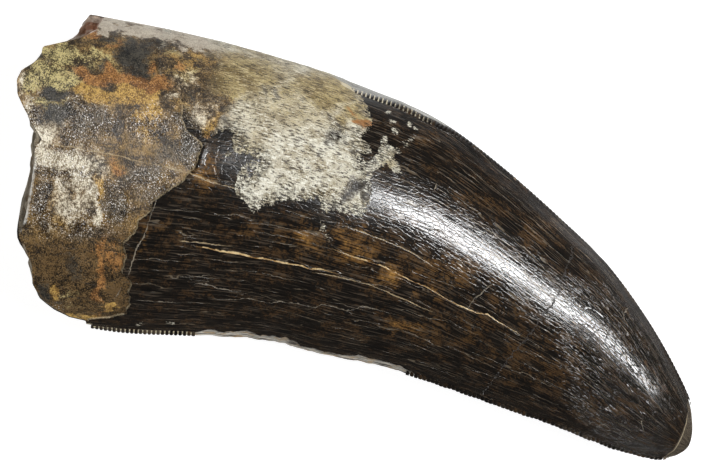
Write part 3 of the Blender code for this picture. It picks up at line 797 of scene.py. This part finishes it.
class Graph:
    """Short words for building the nodes of a material or of the world."""

    def __init__(self, tree, shader):
        self.tree = tree
        self.shader = tree.nodes[shader]

    def node(self, kind, inputs=(), **settings):
        made = self.tree.nodes.new("ShaderNode" + kind)
        for key, value in settings.items():
            setattr(made, key, value)
        for key, value in dict(inputs).items():
            self.put(made.inputs[key], value)
        return made

    def put(self, socket, value):
        if isinstance(value, bpy.types.NodeSocket):
            self.tree.links.new(value, socket)
        else:
            socket.default_value = value

    def shade(self, looks):
        """Sets inputs of the shader, by their names."""
        for name, value in looks.items():
            self.put(self.shader.inputs[name], value)

    def math(self, operation, a, b=0.0):
        return self.node("Math", {0: a, 1: b}, operation=operation).outputs[0]

    def chain(self, operation, terms):
        """The operation carried from one term to the next."""
        total = terms[0]
        for term in terms[1:]:
            total = self.math(operation, total, term)
        return total

    def add(self, *terms):
        return self.chain("ADD", terms)

    def times(self, *terms):
        return self.chain("MULTIPLY", terms)

    def most(self, *terms):
        return self.chain("MAXIMUM", terms)

    def rest(self, a):
        """What is missing from 1."""
        return self.math("SUBTRACT", 1.0, a)

    def shake(self, **reaches):
        """The named noise fields as one number that sways about 0, each within its reach."""
        sways = []
        for field, reach in reaches.items():
            sways.append(self.times(self.math("SUBTRACT", getattr(self, field), 0.5), reach))
        return self.add(*sways)

    def frayed(self, mark, **reaches):
        """A mark's value, with its edge frayed by the named noise fields."""
        return self.add(self.value(mark), self.shake(**reaches))

    def step(self, value, low, high, full=1.0):
        """0 where the value is at low, full where it is at high, smoothly between."""
        inputs = {"Value": value, "From Min": low, "From Max": high, "To Max": full}
        return self.node("MapRange", inputs, interpolation_type="SMOOTHSTEP").outputs["Result"]

    def from_half(self, value):
        """How far the value's fraction is from a half."""
        return self.math("ABSOLUTE", self.math("SUBTRACT", self.math("FRACT", value), 0.5))

    def value(self, name):
        return self.node("Attribute", attribute_name=name).outputs["Fac"]

    def vector(self, name):
        return self.node("Attribute", attribute_name=name).outputs["Vector"]

    def parts(self, vector):
        return self.node("SeparateXYZ", {0: vector}).outputs

    def scaled(self, vector, x, y=None):
        """The vector with its lengths counted in units of x along the grain and y across it."""
        y = x if y is None else y
        factor = (1 / x, 1 / y, 1 / y)
        return self.node("VectorMath", {0: vector, 1: factor}, operation="MULTIPLY").outputs[0]

    def lanes(self, long, wide):
        """The place on the unrolled skin, counted in a length along the grain and a width across it."""
        inputs = {0: self.times(self.run, 1 / long), 1: self.times(self.lane, 1 / wide)}
        return self.node("CombineXYZ", inputs).outputs[0]

    def noise(self, vector, detail=3.0, roughness=0.55, distortion=0.0, seed=0.0):
        inputs = {"Vector": vector, "W": seed, "Scale": 1.0, "Detail": detail}
        inputs.update({"Roughness": roughness, "Distortion": distortion})
        return self.node("TexNoise", inputs, noise_dimensions="4D").outputs["Fac"]

    def cell_edges(self, vector):
        inputs = {"Vector": vector, "Scale": 1.0, "Randomness": 1.0}
        return self.node("TexVoronoi", inputs, feature="DISTANCE_TO_EDGE").outputs["Distance"]

    def mix(self, factor, a, b):
        """The colour that lies the factor's share of the way from a to b."""
        made = self.node("Mix", data_type="RGBA")
        for index, value in ((0, factor), (6, a), (7, b)):
            self.put(made.inputs[index], value + (1.0,) if isinstance(value, tuple) else value)
        return made.outputs[2]

    def between(self, factor, a, b):
        """The number that lies the factor's share of the way from a to b."""
        return self.node("Mix", {0: factor, 2: a, 3: b}).outputs[0]

    def bump(self, height, depth, below=None):
        """Bumps of the depth in millimetres, on top of other ones."""
        inputs = {"Height": height, "Distance": depth * MM, "Strength": 1.0}
        if below is not None:
            inputs["Normal"] = below
        return self.node("Bump", inputs).outputs["Normal"]


def new_material(name):
    """A material, and the graph of its nodes."""
    material = bpy.data.materials.new(name)
    material.use_nodes = True
    return material, Graph(material.node_tree, "Principled BSDF")


# Noise fields of the skin: name, size along the grain and across it in millimetres, detail, roughness,
# distortion and seed. The lane fields are drawn on the unrolled skin.
GRAIN_FIELDS = [
    ("mottle", 2.3, 1.7, 5.0, 0.62, 0.0, 2.0),
    ("speck", 0.42, 0.34, 4.0, 0.75, 0.0, 3.0),
    ("grit", 0.15, 0.15, 1.5, 0.6, 0.0, 4.0),
    ("patchy", 1.6, 1.0, 3.0, 0.7, 0.0, 9.0),
]
LANE_FIELDS = [
    ("streak", 8.0, 0.40, 1.5, 0.5, 0.5, 5.0),
    ("fine", 3.4, 0.17, 1.5, 0.55, 0.5, 6.0),
    ("ripple", 0.8, 0.17, 2.0, 0.6, 0.7, 10.0),
    ("layers", 2.5, 0.13, 2.0, 0.6, 0.5, 16.0),
    ("strata", 3.5, 0.40, 3.0, 0.7, 0.6, 17.0),
]
# Thin lines along the grain, painted pale as glints and cut as shallow grooves: pitch, thickness, the share
# that shows, and seed.
THREADS = [(1.7, 0.065, 0.5, 12.0), (0.95, 0.05, 0.45, 14.0)]
THREAD_BEND = 2.2  # how far a line wanders, in pitches

# Cracks: softness of the sides, how far the course wanders, and how strongly the colour shows.
CRACK_LOOKS = {
    "gold": (0.04, 0.25, 0.95),
    "cream": (0.035, 0.25, 0.9),
    "pale": (0.03, 0.4, 0.8),
    "dark": (0.035, 0.9, 0.9),
}

# Depth of the bumps, in millimetres.
WRINKLE_DEPTH = 0.05
GRAIN_DEPTH = 0.15
CRACK_DEPTH = 0.05
BREAK_GRIT_DEPTH = 0.16
BREAK_LUMP_DEPTH = 0.35

ENAMEL_IOR = 1.6
GLINT_ROUGHNESS = 0.21
EXPOSED_ROUGHNESS = 0.85
TIP_LAYERS = 1.9  # pale lines to the millimetre on the worn tip
CRACKLED_RUN = (70.0, 84.0)  # the wrinkles turn to crackle between these distances from the root


def threads(g, pitch, thickness, share, seed):
    """Thin lines along the grain, a pitch apart, of which a share shows."""
    bend = g.noise(g.lanes(7.0, 2.2), 3.0, 0.6, seed=seed)
    place = g.add(g.times(g.lane, 1 / pitch), g.times(bend, THREAD_BEND))
    off = g.times(g.from_half(place), pitch)
    bar = 0.68 - 0.4 * share
    shown = g.step(g.noise(g.lanes(6.0, 0.8 * pitch), 3.0, 0.65, seed=seed + 0.5), bar, bar + 0.12)
    return g.times(g.step(off, thickness, 0.4 * thickness), shown)


def crack_mask(g, name, softness, wander):
    """1 in the middle of a crack and 0 beside it, with a wandering course and an uneven width."""
    off, width, _ = g.parts(g.vector(name))
    off = g.math("ABSOLUTE", g.add(off, g.shake(speck=wander, patchy=1.5 * wander)))
    uneven = g.times(width, g.between(g.step(g.patchy, 0.32, 0.60), 0.1, 1.15))
    return g.times(g.step(g.math("SUBTRACT", uneven, off), -softness, softness), g.step(width, 0.005, 0.03))


def skin_fields(g):
    """The noise fields, thin lines and masks that the skin's colours share."""
    g.grain = g.vector("grain")
    g.lane = g.value("lane")
    g.run = g.parts(g.grain)[0]
    for name, long, wide, *look in GRAIN_FIELDS:
        setattr(g, name, g.noise(g.scaled(g.grain, long, wide), *look))
    for name, long, wide, *look in LANE_FIELDS:
        setattr(g, name, g.noise(g.lanes(long, wide), *look))
    g.flake = g.between(0.6, g.speck, g.grit)
    g.thread = g.most(*[threads(g, *look) for look in THREADS])
    g.glint = g.step(g.value("glint"), 0.1, 0.9)

    crust_edge = g.frayed("crust", mottle=1.6, speck=1.8)
    gaps = g.step(g.between(0.25, g.ripple, g.speck), 0.52, 0.42)
    lacy = g.times(g.most(gaps, g.step(g.flake, 0.50, 0.42)), g.step(crust_edge, 1.6, 0.1, 0.95))
    g.on_crust = g.times(g.step(crust_edge, -0.04, 0.07), g.rest(lacy))
    g.enamel_edge = g.frayed("enamel", speck=0.45, grit=0.2)
    g.on_enamel = g.step(g.enamel_edge, -0.03, 0.03)
    g.bare = g.times(g.on_enamel, g.rest(g.on_crust))


def mottled(g, dark, light):
    """Two colours that change places in broad blotches."""
    return g.mix(g.step(g.mottle, 0.38, 0.62), dark, light)


def enamel_colour(g):
    """Near black, with brown mottling in places, a painted sheen on the fine ridges, and thin pale lines
    along the grain painted as glints.
    """
    near_black, brown = (0.0115, 0.0093, 0.0074), (0.062, 0.035, 0.0165)
    tan, bright_amber = (0.22, 0.112, 0.033), (0.52, 0.28, 0.070)
    groove, ridge_sheen, thread = (0.0050, 0.0042, 0.0036), (0.12, 0.092, 0.066), (0.26, 0.205, 0.14)
    amber = g.value("amber")
    depth = g.add(g.between(0.5, g.mottle, g.speck), g.times(amber, 0.08))
    colour = g.mix(g.step(depth, 0.48, 0.62), near_black, brown)
    colour = g.mix(g.times(g.step(depth, 0.47, 0.66), g.step(amber, 0.05, 0.8)), colour, tan)
    colour = g.mix(g.times(g.step(depth, 0.58, 0.74), g.step(amber, 0.4, 1.0)), colour, bright_amber)
    # the fine wrinkles: darker along their low lines, with a painted sheen on their ridges
    colour = g.mix(g.step(g.fine, 0.49, 0.41, 0.85), colour, groove)
    colour = g.mix(g.step(g.fine, 0.55, 0.68, 0.45), colour, ridge_sheen)
    # pale lines painted as glints along the grain
    return g.mix(g.times(g.thread, 0.5), colour, thread)


ROOT_STAINS_AND_SHEEN = [  # name, where it begins and is full, its colour between the grains and its colour on them
    ("umber", 0.15, 0.75, (0.014, 0.009, 0.004), (0.190, 0.112, 0.040)),
    ("lichen", 0.30, 0.85, (0.075, 0.060, 0.026), (0.66, 0.55, 0.24)),
    ("honey", 0.30, 0.85, (0.20, 0.105, 0.024), (0.66, 0.41, 0.105)),
    # pale stain, in part a painted sheen
    ("bleach_and_sheen", 0.25, 0.90, (0.29, 0.225, 0.135), (0.96, 0.87, 0.68)),
    ("rust", 0.25, 0.80, (0.15, 0.060, 0.014), (0.50, 0.24, 0.070)),
    ("dusk", 0.25, 0.85, (0.015, 0.012, 0.010), (0.180, 0.135, 0.082)),
    ("soot", 0.30, 0.85, (0.011, 0.011, 0.010), (0.076, 0.066, 0.048)),
    # painted reflection: pale along the root's top edge
    ("painted_sheen", 0.30, 0.90, (0.42, 0.345, 0.255), (0.62, 0.55, 0.43)),
]


def root_colour(g):
    """Brown to ochre, darker between the grains than on them, with stains that break up into specks, a
    painted reflection along the top edge and white specks painted as glints.
    """
    pale_grain, painted_glint, deep_brown = (0.66, 0.54, 0.33), (0.92, 0.90, 0.88), (0.105, 0.058, 0.018)
    dark = mottled(g, (0.024, 0.015, 0.008), (0.085, 0.048, 0.016))
    light = mottled(g, (0.18, 0.115, 0.046), (0.38, 0.235, 0.078))
    shaken = g.shake(mottle=1.5, speck=1.8)
    for name, low, high, between_grains, on_grains in ROOT_STAINS_AND_SHEEN:
        amount = g.step(g.add(g.value(name), g.times(shaken, g.step(g.value(name), 0.0, 0.15))), low, high)
        dark = g.mix(amount, dark, between_grains)
        light = g.mix(amount, light, on_grains)
    clumped = g.add(g.flake, g.shake(mottle=0.30, patchy=0.35))
    colour = g.mix(g.step(clumped, 0.42, 0.58), dark, light)
    calm = g.step(g.most(g.value("umber"), g.value("soot"), g.value("painted_sheen")), 0.3, 0.9, 0.75)
    colour = g.mix(g.times(g.step(g.flake, 0.59, 0.68, 0.8), g.rest(calm)), colour, pale_grain)
    # white specks painted as glints where the root is glossy
    glint_specks = g.times(g.step(g.grit, 0.595, 0.65), g.step(g.value("glint"), 0.15, 0.8))
    colour = g.mix(g.times(glint_specks, g.step(g.patchy, 0.40, 0.56)), colour, painted_glint)
    deep = g.times(g.step(g.value("umber"), 0.5, 1.1), g.step(g.mottle, 0.48, 0.66, 0.6))
    return g.mix(deep, colour, deep_brown)


def crust_colour(g):
    """Ivory below and warm ochre above, rippled along the grain, with dark and orange flecks."""
    grey, slate, rusty = (0.090, 0.080, 0.072), (0.030, 0.027, 0.025), (0.42, 0.165, 0.030)
    hollow = (0.055, 0.040, 0.022)
    ivory = mottled(g, (0.44, 0.375, 0.245), (0.78, 0.74, 0.60))
    ochre = mottled(g, (0.21, 0.145, 0.050), (0.46, 0.36, 0.165))
    warm = g.step(g.frayed("warm", mottle=1.0, speck=0.8), 0.10, 0.90)
    colour = g.mix(warm, ivory, ochre)
    dusk = g.frayed("dusk", speck=1.6)
    colour = g.mix(g.step(dusk, 0.35, 0.75, 0.75), colour, grey)
    shade = g.add(g.between(0.4, g.ripple, g.flake), g.shake(patchy=0.22))
    pale = g.mix(warm, (0.97, 0.95, 0.83), (0.70, 0.59, 0.34))
    colour = g.mix(g.step(shade, 0.53, 0.60, 0.85), colour, pale)
    colour = g.mix(g.step(shade, 0.485, 0.425, 0.93), colour, hollow)
    colour = g.mix(g.step(dusk, 1.05, 1.35, 0.9), colour, slate)
    colour = g.mix(g.step(g.frayed("rust", speck=1.6), 0.50, 0.95, 0.85), colour, rusty)
    meld = g.step(g.frayed("meld", mottle=1.0), 0.25, 0.85)
    return g.mix(meld, colour, root_colour(g))


def skin_colour(g):
    """Root, enamel and crust, the cream line along the enamel's edge, and a painted highlight along the
    root's broken rim.
    """
    edge_cream, rim_highlight_white = (0.46, 0.37, 0.23), (0.60, 0.58, 0.53)
    colour = g.mix(g.on_enamel, root_colour(g), enamel_colour(g))
    rim = g.times(g.step(g.enamel_edge, -0.16, -0.02), g.step(g.enamel_edge, 0.07, 0.0))
    colour = g.mix(g.times(rim, g.step(g.mottle, 0.34, 0.54, 0.85)), colour, edge_cream)
    # a pale line painted along the broken rim as its highlight
    rim_highlight = g.step(g.frayed("rim_highlight", speck=0.6, grit=0.3), 0.42, 0.12)
    colour = g.mix(g.times(rim_highlight, g.step(g.patchy, 0.35, 0.60)), colour, rim_highlight_white)
    return g.mix(g.on_crust, colour, crust_colour(g))


def laid_bare(g, colour):
    """The worn tip, the flakes, the front keel's far side and the gaps between denticles."""
    tip_line, flake_brown, slit_cream = (0.52, 0.43, 0.29), (0.42, 0.29, 0.15), (0.74, 0.65, 0.45)
    wear_edge = g.frayed("wear", speck=0.12)
    worn = g.mix(g.step(g.layers, 0.42, 0.58), (0.026, 0.020, 0.014), (0.155, 0.125, 0.090))
    colour = g.mix(g.step(wear_edge, -0.03, 0.05), colour, worn)
    lines = g.step(g.from_half(g.times(wear_edge, TIP_LAYERS)), 0.14, 0.04, 0.9)
    lines = g.times(lines, g.step(wear_edge, -0.1, 0.1), g.step(wear_edge, 0.75, 0.5))
    colour = g.mix(g.times(lines, g.step(g.patchy, 0.34, 0.50)), colour, tip_line)
    g.flaked = g.step(g.frayed("chip", speck=0.35, grit=0.1), -0.03, 0.04)
    strata = g.mix(g.step(g.strata, 0.44, 0.56), (0.050, 0.042, 0.034), (0.66, 0.62, 0.54))
    colour = g.mix(g.flaked, colour, g.mix(g.step(g.patchy, 0.50, 0.60, 0.8), strata, flake_brown))
    g.far_keel = g.step(g.frayed("far_keel", speck=0.6), 0.30, 0.75)
    keel_layers = g.mix(g.step(g.layers, 0.40, 0.60), (0.24, 0.24, 0.22), (0.62, 0.61, 0.57))
    colour = g.mix(g.times(g.far_keel, 0.9), colour, keel_layers)
    return g.mix(g.step(g.frayed("slit", speck=0.8), 0.30, 0.60, 0.9), colour, slit_cream)


def cracked(g, colour):
    """The cracks of all kinds, in their colours."""
    tints = {
        "gold": g.mix(g.step(g.patchy, 0.35, 0.65), (0.40, 0.19, 0.04), (0.86, 0.66, 0.36)),
        "cream": g.mix(g.patchy, (0.28, 0.18, 0.08), (0.56, 0.45, 0.28)),
        "pale": (0.34, 0.29, 0.22),
        "dark": (0.042, 0.034, 0.029),
    }
    g.cracks = {}
    for name, (softness, wander, strength) in CRACK_LOOKS.items():
        g.cracks[name] = crack_mask(g, name, softness, wander)
        colour = g.mix(g.times(g.cracks[name], strength), colour, tints[name])
    return colour


def skin_roughness(g):
    """Glossy enamel, duller near the crust, and a root and crust that are matte but for their glints."""
    matte = g.between(g.glint, g.add(0.36, g.times(g.patchy, 0.2)), GLINT_ROUGHNESS)
    glossy = g.add(0.125, g.times(g.grit, 0.05), g.step(g.value("crust"), -3.5, 0.3, 0.06))
    exposed = g.times(g.most(g.far_keel, g.flaked), 0.6)
    dull = g.most(g.times(g.cracks["dark"], 0.75), exposed)
    return g.between(dull, g.between(g.bare, matte, glossy), EXPOSED_ROUGHNESS)


def skin_bumps(g):
    """Relief too fine for the mesh: wrinkles on the enamel, grains on root and crust, and the cracks."""
    crackle = g.step(g.cell_edges(g.lanes(0.9, 0.45)), 0.0, 0.10)
    crackle = g.times(crackle, g.add(0.13, g.step(g.run, *CRACKLED_RUN, 0.6)))
    wrinkle = g.add(g.times(g.streak, 0.6), g.times(g.fine, 0.21), crackle)
    normal = g.bump(g.times(wrinkle, g.bare), WRINKLE_DEPTH)
    grains = g.add(g.times(g.speck, 0.7), g.times(g.grit, g.add(0.45, g.times(g.glint, 0.35))))
    grains = g.add(grains, g.times(g.ripple, g.on_crust, 0.7))
    normal = g.bump(g.times(grains, g.rest(g.bare)), GRAIN_DEPTH, normal)
    shallow = g.times(g.most(g.cracks["gold"], g.cracks["cream"]), 0.4)
    groove = g.most(shallow, g.cracks["pale"], g.cracks["dark"], g.times(g.thread, 0.45))
    return g.bump(g.rest(groove), CRACK_DEPTH, normal)


def tooth_skin():
    """Glossy dark enamel, the bare mottled root, and the cream crust, parted by ragged edges."""
    material, g = new_material("tooth_skin")
    skin_fields(g)
    colour = cracked(g, laid_bare(g, skin_colour(g)))
    g.shade({"Base Color": colour, "IOR": ENAMEL_IOR})
    g.shade({"Roughness": skin_roughness(g), "Normal": skin_bumps(g)})
    return material


def broken_root():
    """The broken end: banded dentine round a core of hardened sediment, with a painted shadow line along the
    rim.
    """
    material, g = new_material("broken_root")
    umber, rim_shadow, sand_brown = (0.24, 0.145, 0.070), (0.040, 0.032, 0.024), (0.20, 0.135, 0.070)
    place = g.scaled(g.node("TexCoord").outputs["Object"], MM)
    inward, ruddy = g.value("inward"), g.value("ruddy")
    grit = g.noise(g.scaled(place, 0.35), 4.0, 0.7, seed=1.0)
    lump = g.lump = g.noise(g.scaled(place, 2.2), 4.0, 0.6, seed=2.0)
    banding = g.node("CombineXYZ", {0: g.times(inward, 60.0), 1: lump}).outputs[0]
    band = g.noise(g.scaled(banding, 2.0), seed=3.0)
    dentine = g.mix(g.step(band, 0.35, 0.65), (0.26, 0.20, 0.125), (0.62, 0.54, 0.40))
    dentine = g.mix(g.step(lump, 0.52, 0.40, 0.7), dentine, umber)
    red_bands = g.mix(g.step(band, 0.42, 0.58), (0.50, 0.20, 0.10), (0.92, 0.74, 0.60))
    dentine = g.mix(g.times(ruddy, 0.85), dentine, red_bands)
    # a dark band just inside the rim: a painted shadow line
    dentine = g.mix(g.step(inward, 0.009, 0.003, 0.9), dentine, rim_shadow)
    sand = g.mix(g.step(grit, 0.35, 0.65), (0.15, 0.115, 0.075), (0.48, 0.41, 0.30))
    sand = g.mix(g.step(lump, 0.44, 0.58, 0.6), sand, sand_brown)
    core = g.step(g.frayed("inward", lump=0.12), 0.29, 0.33)
    roughness = g.between(ruddy, g.between(core, 0.38, 0.85), 0.2)
    normal = g.bump(lump, BREAK_LUMP_DEPTH, g.bump(grit, BREAK_GRIT_DEPTH))
    g.shade({"Base Color": g.mix(core, dentine, sand), "Roughness": roughness, "Normal": normal})
    return material


def capped(points, cap, flip=False):
    """A grid's points with one more that closes its last row, and all the faces."""
    rows, columns = points.shape[:2]
    last = (rows - 1) * columns
    faces = grid_faces(rows, columns, flip)
    for i in range(columns):
        edge = [last + i, last + (i + 1) % columns]
        faces.append((edge[::-1] if flip else edge) + [rows * columns])
    return np.vstack([points.reshape(-1, 3), cap]), faces


def make_skin(material):
    """The tooth's outer skin, from the broken rim to the tip; gives its placement and its rim."""
    theta = column_angles()
    t = skin_stations(theta)
    angles = np.broadcast_to(theta, t.shape)
    step = placement(surface(t, angles))
    points = surface(t, angles, *worn_edges(t))
    found = features(t, angles)
    grain = found["grain"].reshape(t.shape + (3,))
    points = points + grid_normals(points) * relief(found, grain, t.shape)[:, :, None]
    tip = points[-1].mean(axis=0) + (points[-1].mean(axis=0) - points[-3].mean(axis=0)) * TIP_ROUNDING
    everything, faces = capped(points, tip)
    for key, values in found.items():
        found[key] = np.concatenate([values, values[-1:]])
    piece = new_mesh("tooth_surface", rested(everything + step), faces, found, material)
    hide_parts("tooth")
    return step, points[0] + step


def broken_rings(rim, inward, shares):
    """Rings from the rim inwards that grow calmer and sink into the hollow."""
    centre = rim.mean(axis=0)
    jags = (rim - centre) @ inward
    even = rim - jags[:, None] * inward
    waves = np.fft.rfft(jags)
    order = np.arange(len(waves))
    rings = []
    for s in shares:
        calming = JAG_CALMING * s * (1 + CORE_CALMING * smooth(*CORE_EDGE, s))
        calm = np.fft.irfft(waves * np.exp(-calming * order**2), len(jags))
        depth = calm * (1 - s) + PULP_DEPTH * along(HOLLOW, s)
        rings.append(even * (1 - s) + centre * s + depth[:, None] * inward)
    return np.array(rings)


def make_break(rim, material):
    """The broken end, from the rim inwards: a dentine wall, a step down, and the sediment in the hollow."""
    inward = cross_lines(0.12)[0][0] - cross_lines(0.0)[0][0]
    inward = np.append(unit(inward), 0.0)
    shares = np.linspace(0, 1, BREAK_ROWS + 1)[:-1] ** BREAK_CROWDING
    points = broken_rings(rim, inward, shares)
    spread = np.broadcast_to(shares[:, None], points.shape[:2])
    dents = np.abs(fractal(points, 2.4, 2, 13.0)) * smooth(*WALL_INSIDE, spread)
    sand = fractal(points, 0.8, 3, 12.0) * (1 + smooth(*SAND_BEGINS, spread))
    rough = BREAK_WAVES * fractal(points, 3.5, 4, 11.0) - BREAK_DENTS * dents + BREAK_SAND * sand
    points = points + (smooth(0.0, BREAK_LIP, spread) * rough)[:, :, None] * inward
    everything, faces = capped(points, points[-1].mean(axis=0), flip=True)
    off_corner = np.linalg.norm(everything[:, :2] - rim[0, :2], axis=1)
    found = {"inward": np.append(spread.ravel(), 1.0), "ruddy": smooth(*RUDDY_REACH, off_corner)}
    return new_mesh("broken_root", rested(everything), faces, found, material)


def rib(t, theta, sharp, reach):
    """Points of one denticle: rows over the crest from face to face, columns round the rib."""
    turn = np.linspace(-reach, reach, RIB_ROWS)
    bow = 1 - (turn / (1.15 * reach)) ** 2
    worn = worn_edges(np.full(len(turn), t))
    spine = surface(t, theta + turn, *worn)
    forward = unit(surface(t + 0.002, theta + turn, *worn) - spine)
    outward = unit(np.cross(np.gradient(spine, axis=0), forward))
    height = DENTICLE_HEIGHT * sharp * bow
    width = DENTICLE_PITCH * DENTICLE_SHARE * (0.75 + 0.25 * bow)
    rows = [spine + forward * (u * width)[:, None] + outward * (v * height)[:, None] for u, v in RIB_PROFILE]
    return np.stack(rows, axis=1)


def make_denticles(name, theta, comb, reach, sharpness, step, material, seed):
    """One cutting edge's row of denticles, from the rim to near the tip. comb turns them off the crest."""
    rng = np.random.default_rng(seed)
    run = run_along(surface(FINE_T, theta, *worn_edges(FINE_T)))
    first_t = by_face(np.array([theta]), UPPER_RIM, UNDER_RIM)[0] + RIM_MARGIN
    rows, columns = RIB_ROWS, len(RIB_PROFILE)
    quads = np.array(grid_faces(rows, columns, flip=True))
    points, faces, stations = [], [], []
    for place in np.arange(FIRST_DENTICLE, run[-1], DENTICLE_PITCH):
        t = float(np.interp(place, run, FINE_T))
        sharp = float(along(sharpness, t)) * rng.uniform(*DENTICLE_SPREAD)
        if t < first_t or sharp < LOWEST_DENTICLE:
            continue
        first = len(stations)
        points.append(rib(t, theta + float(along(comb, t)), sharp, reach).reshape(-1, 3))
        stations += [t] * (rows * columns)
        faces += (quads + first).tolist()
        faces.append(list(range(first, first + columns)))
        faces.append(list(range(len(stations) - 1, len(stations) - 1 - columns, -1)))
    found = features(np.array(stations), np.full(len(stations), theta))
    found["enamel"] = np.maximum(found["enamel"], 1.0)
    for key, value in UNMARKED.items():
        found[key] = np.full(len(stations), value)
    return new_mesh(name, rested(np.vstack(points) + step), faces, found, material)


def make_floor():
    """A plain pale floor under the tooth."""
    bpy.ops.mesh.primitive_plane_add(size=FLOOR_SIZE)
    floor = bpy.context.object
    floor.name = "floor"
    material, g = new_material("pale_floor")
    g.shade({"Base Color": FLOOR_COLOUR, "Roughness": FLOOR_ROUGHNESS})
    g.shade({"Emission Color": WHITE, "Emission Strength": FLOOR_GLOW})
    floor.data.materials.append(material)
    floor.visible_glossy = False


def make_lights():
    """One strip light, and a dark room with a pale wall on the side of the tooth's front edge."""
    light = bpy.data.lights.new("strip_light", "AREA")
    light.shape = "RECTANGLE"
    light.size, light.size_y = STRIP_SIZE
    light.energy = STRIP_POWER
    lamp = bpy.data.objects.new("strip_light", light)
    lamp.location = STRIP_CENTRE
    bpy.context.scene.collection.objects.link(lamp)

    world = bpy.data.worlds.new("studio")
    world.use_nodes = True
    bpy.context.scene.world = world
    g = Graph(world.node_tree, "Background")
    way = g.parts(g.node("TexCoord").outputs["Generated"])
    wall = g.times(*[g.step(way[axis], low, high) for axis, low, high in WALL_FADES])
    g.shade({"Color": WHITE, "Strength": g.between(wall, ROOM_LEVEL, WALL_LEVEL)})


def make_camera(step):
    """A long lens that looks straight down, as the photograph does."""
    width = FRAME_WIDTH_PX / PX_PER_MM
    centre = np.array(to_mm((FRAME_WIDTH_PX / 2, FRAME_HEIGHT_PX / 2))) + step[:2]
    data = bpy.data.cameras.new("camera")
    data.lens = LENS
    data.sensor_width = SENSOR
    data.clip_start = 0.01
    data.clip_end = 10.0
    camera = bpy.data.objects.new("camera", data)
    height = VIEW_LEVEL + width * LENS / SENSOR
    camera.location = (centre[0] * MM, centre[1] * MM, height * MM)
    bpy.context.scene.collection.objects.link(camera)
    bpy.context.scene.camera = camera
    bpy.context.scene.view_settings.view_transform = "Standard"


def main():
    skin = tooth_skin()
    step, rim = make_skin(skin)
    make_break(rim, broken_root())
    make_denticles("front_denticles", 0.0, FRONT_COMB, FRONT_RIB_REACH, FRONT_SHARPNESS, step, skin, 21)
    make_denticles("rear_denticles", math.pi, REAR_COMB, REAR_RIB_REACH, REAR_SHARPNESS, step, skin, 22)
    make_floor()
    make_lights()
    make_camera(step)


main()
